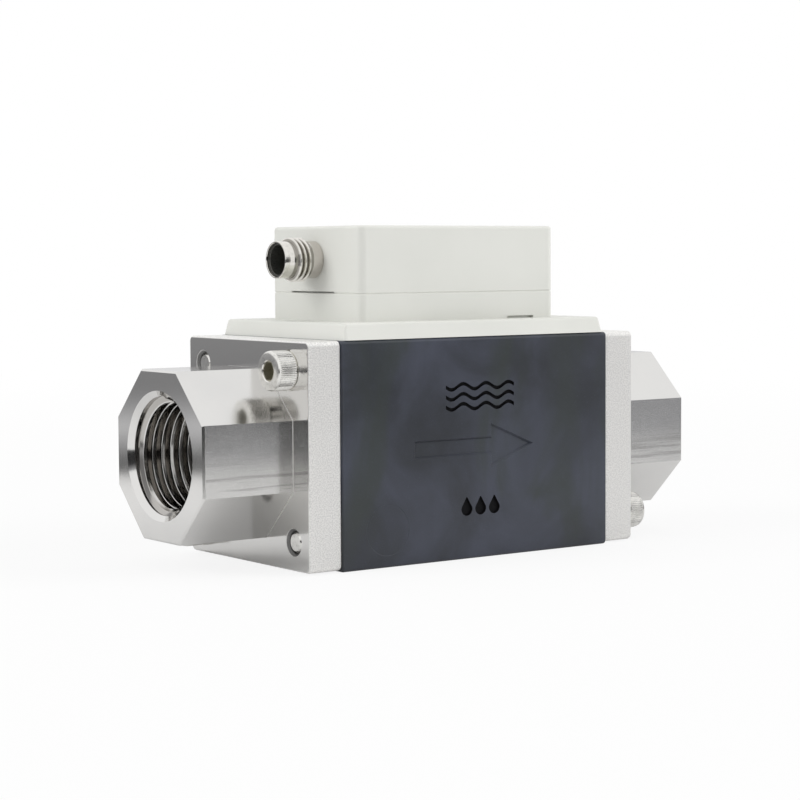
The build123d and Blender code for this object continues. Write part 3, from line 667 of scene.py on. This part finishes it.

# %% [markdown]
# ## The knurled cap screws
#
# The head of a cap screw is knurled so that fingers can turn it, and has a hexagon socket. The head and the
# shank are spun in one go with a few hundred steps. Then the points of the knurled band are moved in and out
# to make the teeth, and the points of the socket's wall are moved onto a hexagon. The faces inside the socket
# get a darker steel, which is painted shade in the recess.

# %% Screw sizes
head_radius = 3.5 * mm
head_height = 4.0 * mm
shank_radius = 2.0 * mm
washer_thickness = 1.0 * mm
tip_recess = 0.3 * mm
socket_flat = 1.5 * mm
socket_depth = 2.0 * mm
knurl_teeth = 52
knurl_profile = (0.0, 0.15, 0.8, 1.0, 0.8, 0.15)
knurl_steps = len(knurl_profile)
knurl_depth = 0.16 * mm
knurl_low = 0.55 * mm
knurl_high = 3.25 * mm
tolerance = 0.01 * mm
screw_length = 2 * plate_face + washer_thickness - tip_recess
socket_corner = socket_flat / math.cos(math.pi / 6)


# %% Build the cap screws
def hexagon_radius(angle, flat):
    """How far a hexagon's side is from its middle in this direction."""
    part = math.pi / 3
    return flat / math.cos((angle % part) - part / 2)


def cap_screw():
    socket_floor = head_height - socket_depth
    outline = [
        (-screw_length, 0),
        (-screw_length, shank_radius - 0.5 * mm),
        (-screw_length + 0.5 * mm, shank_radius),
        (0, shank_radius),
        (0, head_radius - 0.30 * mm),
        (0.12 * mm, head_radius - 0.10 * mm),
        (knurl_low - 0.2 * mm, head_radius - 0.05 * mm),
        (knurl_low, head_radius - 0.001 * mm),
        (knurl_high, head_radius - 0.001 * mm),
        (knurl_high + 0.2 * mm, head_radius - 0.06 * mm),
        (head_height - 0.32 * mm, head_radius - 0.09 * mm),
        (head_height - 0.12 * mm, head_radius - 0.22 * mm),
        (head_height, head_radius - 0.50 * mm),
        (head_height, socket_corner + 0.18 * mm),
        (head_height - 0.15 * mm, socket_corner + 0.03 * mm),
        (head_height - 0.16 * mm, socket_corner),
        (socket_floor, socket_corner),
        (socket_floor, socket_corner * 0.8),
        (socket_floor - 0.5 * mm, 0),
    ]
    screw = spin_outline(outline, knurl_teeth * knurl_steps)
    for vert in screw.verts:
        angle = math.atan2(vert.co.z, vert.co.y)
        along, radius = vert.co.x, radius_of(vert)
        knurled = knurl_low - tolerance < along < knurl_high + tolerance
        if knurled and radius > head_radius - tolerance:
            phase = round((angle / (2 * math.pi)) * knurl_teeth * knurl_steps) % knurl_steps
            set_radius(vert, head_radius - knurl_depth * knurl_profile[phase])
        if along > socket_floor - tolerance and abs(radius - socket_corner) < tolerance / 2:
            set_radius(vert, hexagon_radius(angle, socket_flat))
    bmesh.ops.recalc_face_normals(screw, faces=screw.faces)
    return screw


seat_x = plate_face + washer_thickness
screw_places = [
    (-1, -screw_half, axis_z + screw_half),
    (-1, screw_half, axis_z - screw_half),
    (1, screw_half, axis_z + screw_half),
    (1, -screw_half, axis_z - screw_half),
]
all_screws = bmesh.new()
for outward_x, y, z in screw_places:
    screw = cap_screw()
    screw.transform(turned_to(outward_x, outward_x * seat_x, y, z))
    pour(screw, all_screws)
piece = finish_piece(all_screws, "knurled_screws", "screw_steel", "cap_screws")
# The faces inside the socket take a darker steel: painted shade in the recess
piece.data.materials.append(bright_metal("socket_painted_shade", (0.46, 0.44, 0.36), 0.50, 2600, 0.9))
socket_rim = seat_x + head_height - 0.15 * mm
for face in piece.data.polygons:
    across = math.hypot(abs(face.center.y) - screw_half, abs(face.center.z - axis_z) - screw_half)
    if seat_x < abs(face.center.x) < socket_rim and across < socket_corner + 0.002 * mm:
        face.material_index = 1
print("screws", len(piece.data.polygons), "faces")

# %% [markdown]
# ## The threaded connector
#
# The connector is one turned piece: a neck out of the housing, an M8 thread for the lead's union nut, and a
# plain nose with a fine groove round it. The thread is wound like the ports' threads, but outwards, and its
# ends are chamfered. It is part of the same mesh.

# %% Connector
reach = -shell_low.x - head_end
shank_end = -(shell_high.x + head_end)
bore_radius = 2.3 * mm
hole_radius = 3.0 * mm
neck_radius = 3.4 * mm
nose_radius = 3.30 * mm
lip_radius = 3.35 * mm
ring_groove_radius = 3.20 * mm
socket_radius = 3.05 * mm
socket_reach = 7.5 * mm
chamfer_reach = 0.25 * mm
ridge_gap = 0.2 * mm
barrel_steps = 96


def connector_barrel():
    outline = [
        (shank_end, bore_radius),
        (shank_end, hole_radius),
        (0, hole_radius),
        (0, neck_radius - 0.10 * mm),
        (0.10 * mm, neck_radius),
        (nut_thread_from - 0.15 * mm, neck_radius),
        (nut_thread_from, nut_groove),
        (nut_thread_to, nut_groove),
        (nut_thread_to + 0.25 * mm, nose_radius),
        (reach - 1.40 * mm, nose_radius),
        (reach - 1.15 * mm, ring_groove_radius),
        (reach - 0.95 * mm, ring_groove_radius),
        (reach - 0.80 * mm, lip_radius),
        (reach - 0.12 * mm, lip_radius),
        (reach, lip_radius - 0.08 * mm),
        (reach, socket_radius + 0.08 * mm),
        (reach - 0.10 * mm, socket_radius),
        (reach - socket_reach, socket_radius),
        (reach - socket_reach, bore_radius),
    ]
    barrel = spin_outline(outline, barrel_steps, closed=True)
    section = [
        (-0.42 * mm, nut_groove - 0.05 * mm),
        (0.42 * mm, nut_groove - 0.05 * mm),
        (0.10 * mm, nut_crest - 0.03 * mm),
        (0.05 * mm, nut_crest),
        (-0.05 * mm, nut_crest),
        (-0.10 * mm, nut_crest - 0.03 * mm),
    ]
    turns = (nut_thread_to - nut_thread_from - 2 * ridge_gap) / nut_pitch
    ridge = wind_ridge(section, nut_pitch, turns, barrel_steps)
    for vert in ridge.verts:
        vert.co.x += nut_thread_from + ridge_gap
        past_start = vert.co.x - nut_thread_from + chamfer_reach
        before_end = nut_thread_to + chamfer_reach - vert.co.x
        highest = nut_groove + max(0.0, min(past_start, before_end))
        if radius_of(vert) > highest:
            set_radius(vert, highest)
    pour(ridge, barrel)
    barrel.transform(turned_to(-1, -head_end, connector_y, connector_z))
    return finish_piece(barrel, "connector_barrel", "plated_brass", "connector_shell")


piece = connector_barrel()
print("connector", len(piece.data.polygons), "faces, reach", round(reach / mm, 2))

# %% [markdown]
# ## The marks in the body's front
#
# The flow arrow, two signs and the round gate mark are sunk into the body's front with Boolean modifiers.
# Each mark starts as a flat shape on the front face, an inset gives it a sloping wall and a floor, and a cap
# in front of the face closes it to a solid. Three waves stand for a liquid, and three drops for its amount.
# The walls and floors of these signs are matt black, while the arrow and the gate mark keep the body's
# plastic.

# %% Helpers for the marks
sign_black = plain_skin("sign_black", (0.004, 0.004, 0.005), 0.62)
set_skin(sign_black, Specular_IOR_Level=0.15)
cap_gap = 1.0 * mm


def sink(shape, depth, slope):
    """Turns a flat shape in the front face into a closed cutter with sloping walls."""
    bmesh.ops.recalc_face_normals(shape, faces=shape.faces)
    bmesh.ops.inset_region(
        shape,
        faces=list(shape.faces),
        thickness=slope,
        depth=0,
        use_boundary=True,
        use_even_offset=True,
    )
    rim = {vert for edge in shape.edges if edge.is_boundary for vert in edge.verts}
    for vert in shape.verts:
        if vert not in rim:
            vert.co.y += depth
    border = [edge for edge in shape.edges if edge.is_boundary]
    grown = bmesh.ops.extrude_edge_only(shape, edges=border)
    for vert in (part for part in grown["geom"] if isinstance(part, bmesh.types.BMVert)):
        vert.co.y -= cap_gap
    border = [edge for edge in shape.edges if edge.is_boundary]
    bmesh.ops.edgeloop_fill(shape, edges=border)
    bmesh.ops.recalc_face_normals(shape, faces=shape.faces)
    return shape


# %% Shapes of the marks, with X and Z in millimetres
arrow_points = [
    (-14.8, 18.9),
    (2.45, 18.9),
    (2.45, 16.35),
    (12.35, 20.3),
    (2.45, 24.45),
    (2.45, 22.0),
    (-14.8, 22.0),
]
arrow_depth, arrow_slope = 0.42 * mm, 0.34 * mm
wave_length = 5.2 * mm
wave_height = 0.50 * mm
wave_stroke = 0.66 * mm
wave_rows = (27.75, 29.55, 31.35)
wave_span = 15.6 * mm
wave_slope = 0.08 * mm
drop_columns = (-3.15, 0.0, 3.15)
drop_middle = 9.15
drop_radius = 1.25 * mm
drop_tip = 2.15 * mm
drop_slope = 0.10 * mm
sign_depth = 0.45 * mm
gate_place = (-20.65, 6.7)
gate_radius = 4.6 * mm
gate_depth, gate_slope = 0.05 * mm, 0.08 * mm


def arrow_shape():
    """One flat face with the arrow's outline."""
    shape = bmesh.new()
    shape.faces.new([shape.verts.new((x * mm, front_y, z * mm)) for x, z in arrow_points])
    return shape


def wave_shape(z):
    """A strip of squares that is bent into a sine."""
    shape = bmesh.new()
    bmesh.ops.create_grid(shape, x_segments=72, y_segments=1, size=0.5)
    for vert in shape.verts:
        x = vert.co.x * wave_span
        bend = wave_height * math.sin(2 * math.pi * x / wave_length)
        vert.co = (x, front_y, z * mm + vert.co.y * wave_stroke + bend)
    return shape


def drop_shape(x):
    """A circle whose upper half is drawn out to a tip."""
    shape = bmesh.new()
    bmesh.ops.create_circle(shape, cap_ends=True, segments=48, radius=drop_radius)
    for vert in shape.verts:
        up = max(0.0, vert.co.y / drop_radius)
        across = vert.co.x * (1.0 - 0.55 * up**2)
        rise = vert.co.y + (drop_tip - drop_radius) * up**3
        vert.co = (x * mm + across, front_y, drop_middle * mm + rise)
    return shape


def gate_shape():
    """The round mark where the melt was let into the mould."""
    shape = bmesh.new()
    bmesh.ops.create_circle(shape, cap_ends=True, segments=72, radius=gate_radius)
    gate_x, gate_z = gate_place
    for vert in shape.verts:
        vert.co = (vert.co.x + gate_x * mm, front_y, vert.co.y + gate_z * mm)
    return shape


# %% Cut the marks into a copy of the body
def join_marks(name, shapes, finish):
    """Puts several cutters in one object that carries the finish of its walls."""
    joined = bmesh.new()
    for shape in shapes:
        pour(shape, joined)
    mesh = bpy.data.meshes.new(name)
    joined.to_mesh(mesh)
    joined.free()
    mesh.materials.append(finish)
    return add_object(name, mesh)


plain_marks = [sink(arrow_shape(), arrow_depth, arrow_slope), sink(gate_shape(), gate_depth, gate_slope)]
black_signs = [sink(wave_shape(z), sign_depth, wave_slope) for z in wave_rows]
black_signs += [sink(drop_shape(x), sign_depth, drop_slope) for x in drop_columns]
body_finish = finishes["dark_body_plastic"]
cutters = [
    join_marks("plain_marks", plain_marks, body_finish),
    join_marks("black_signs", black_signs, sign_black),
]

body_mesh = bpy.data.meshes.new("marked_body")
merged = merged_mesh("flow_body")
merged.to_mesh(body_mesh)
merged.free()
body_mesh.materials.append(body_finish)
body_mesh.materials.append(sign_black)
marked_body = add_object("marked_body", body_mesh)
for cutter in cutters:
    cut = marked_body.modifiers.new("cut", "BOOLEAN")
    cut.operation = "DIFFERENCE"
    cut.solver = "EXACT"
    cut.material_mode = "TRANSFER"
    cut.object = cutter
bpy.context.view_layer.update()
depsgraph = bpy.context.evaluated_depsgraph_get()
carved = bpy.data.meshes.new_from_object(marked_body.evaluated_get(depsgraph))
carved_work = bmesh.new()
carved_work.from_mesh(carved)
mark_crisp(carved_work)
marked_body.modifiers.clear()
carved_work.to_mesh(carved)
carved_work.free()
marked_body.data = carved
bpy.data.meshes.remove(body_mesh)
for cutter in cutters:
    cutter_mesh = cutter.data
    bpy.data.objects.remove(cutter)
    bpy.data.meshes.remove(cutter_mesh)
weights = marked_body.modifiers.new("flat_faces_win", "WEIGHTED_NORMAL")
weights.keep_sharp = True
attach(marked_body, "root")
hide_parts("flow_body")
print("body", len(carved.polygons), "faces", [material.name for material in carved.materials])

# %% [markdown]
# ## The studio
#
# The meter stands on a white table in soft light: a large lamp at the front right, a weaker one at the left
# and one overhead. The table and the world are white to the camera, and light grey to the light that falls on
# the object. Polished steel needs something dark to mirror. So the mirrored table darkens towards the meter,
# and low grey screens stand round it that only reflections see, each with its own shades from foot to top.


# %% World and table
world_fill = 0.60
table_radius = 8.0


def ray_kinds(wire):
    """Three Wires, each 1 for its rays: from the camera, off a mirror, and through glass."""
    path = wire.node("ShaderNodeLightPath").socket.node.outputs
    return [Wire(wire.tree, path[f"Is {kind} Ray"]) for kind in ("Camera", "Glossy", "Transmission")]


def light_world(fill):
    """A world that is white where it is seen and lights the object with this strength."""
    world = bpy.data.worlds.new("studio")
    world.use_nodes = True
    bpy.context.scene.world = world
    wire = Wire(world.node_tree)
    background = world.node_tree.nodes["Background"]
    camera_ray, glossy_ray, clear_ray = ray_kinds(wire)
    is_seen = wire.maths("MAXIMUM", camera_ray, wire.maths("MAXIMUM", glossy_ray, clear_ray))
    strength = fill + is_seen * (1.0 - fill)
    plug(world.node_tree, background.inputs["Color"], (1, 1, 1, 1))
    plug(world.node_tree, background.inputs["Strength"], strength)


def white_table():
    """A matt table that glows where it is seen, less so near the meter."""
    material, wire = new_finish("white_table")
    set_skin(material, Base_Color=(0.80, 0.80, 0.80, 1), Roughness=0.9, Specular_IOR_Level=0.1)
    x, y, _ = parts_of(place_of(wire))
    distance = (x * x + y * y) ** 0.5
    camera_ray, glossy_ray, clear_ray = ray_kinds(wire)
    white = (camera_ray + clear_ray) * fade(distance, 0.08, 0.60, 0.86, 1.0)
    white = white + glossy_ray * fade(distance, 0.05, 0.24, 0.12, 0.80)
    glow = wire.node("ShaderNodeEmission", None, {"Color": (1, 1, 1, 1), "Strength": 1.0})
    tree = material.node_tree
    skin = Wire(tree, tree.nodes["Principled BSDF"].outputs[0])
    mixed = wire.node("ShaderNodeMixShader", None, {0: white, 1: skin, 2: glow})
    plug(tree, tree.nodes["Material Output"].inputs["Surface"], mixed)
    return material


light_world(world_fill)
table_shape = bmesh.new()
bmesh.ops.create_circle(table_shape, cap_ends=True, segments=96, radius=table_radius)
table_mesh = bpy.data.meshes.new("table")
table_shape.to_mesh(table_mesh)
table_shape.free()
table_mesh.materials.append(white_table())
table = add_object("table", table_mesh)


# %% Lamps
def soft_lamp(name, place, aim, size, power):
    """A square lamp that points at a place and is not mirrored."""
    data = bpy.data.lights.new(name, "AREA")
    data.shape = "SQUARE"
    data.size = size
    data.energy = power
    lamp = add_object(name, data)
    away = Vector(place) - Vector(aim)
    lamp.matrix_world = Matrix.Translation(place) @ away.to_track_quat("Z", "Y").to_matrix().to_4x4()
    lamp.visible_glossy = False


middle = (0, 0, 0.03)
soft_lamp("front_lamp", (0.90, -0.80, 0.60), middle, 0.8, 9.6)
soft_lamp("left_lamp", (-1.10, 0.25, 0.65), middle, 0.7, 7.0)
soft_lamp("top_lamp", (0.1, 0.1, 1.3), middle, 0.9, 2.6)


# %% Grey screens for the reflections
def grey_screen(name, radius, high, shades, from_angle, to_angle):
    """Part of a low round wall that only reflections see, with its shades from foot to top."""
    material, wire = new_finish(name)
    set_skin(material, Base_Color=(0, 0, 0, 1), Roughness=1.0, Specular_IOR_Level=0.0)
    height = parts_of(place_of(wire))[2] / high
    stops = [(place, (shade, shade, shade * 1.02, 1)) for place, shade in shades]
    tone = wire.node("ShaderNodeValToRGB", {"stops": stops}, {0: height})
    set_skin(material, Emission_Color=tone, Emission_Strength=1.0)
    wall = bmesh.new()
    ends = [wall.verts.new((radius, 0, 0)), wall.verts.new((radius, 0, high))]
    edge = wall.edges.new(ends)
    wall.transform(Matrix.Rotation(math.radians(from_angle), 4, "Z"))
    angle = math.radians(to_angle - from_angle)
    bmesh.ops.spin(wall, geom=ends + [edge], cent=(0, 0, 0), axis=(0, 0, 1), angle=angle, steps=48)
    mesh = bpy.data.meshes.new(name)
    wall.to_mesh(mesh)
    wall.free()
    mesh.materials.append(material)
    screen = add_object(name, mesh)
    screen.visible_camera = False
    screen.visible_diffuse = False
    screen.visible_shadow = False
    screen.visible_transmission = False


screen_distance = 0.20
left_back_shades = [
    (0.0, 0.02),
    (0.04, 0.05),
    (0.085, 0.34),
    (0.15, 0.66),
    (0.20, 0.42),
    (0.26, 0.24),
    (0.8, 0.36),
]
left_front_shades = [(0.0, 0.02), (0.7, 0.04), (1.0, 0.4)]
front_shades = [(0.0, 0.05), (0.6, 0.10), (1.0, 0.5)]
right_shades = [(0.0, 0.30), (0.6, 0.45), (1.0, 0.8)]
grey_screen("left_back_screen", screen_distance, 0.080, left_back_shades, 95, 180)
grey_screen("left_front_screen", screen_distance, 0.065, left_front_shades, 185, 245)
grey_screen("front_screen", screen_distance, 0.110, front_shades, 275, 306)
grey_screen("right_screen", screen_distance, 0.055, right_shades, 306, 450)

# %% [markdown]
# ## Finish
#
# Standard keeps the colours as they are written.

# %% View settings
bpy.context.scene.view_settings.view_transform = "Standard"
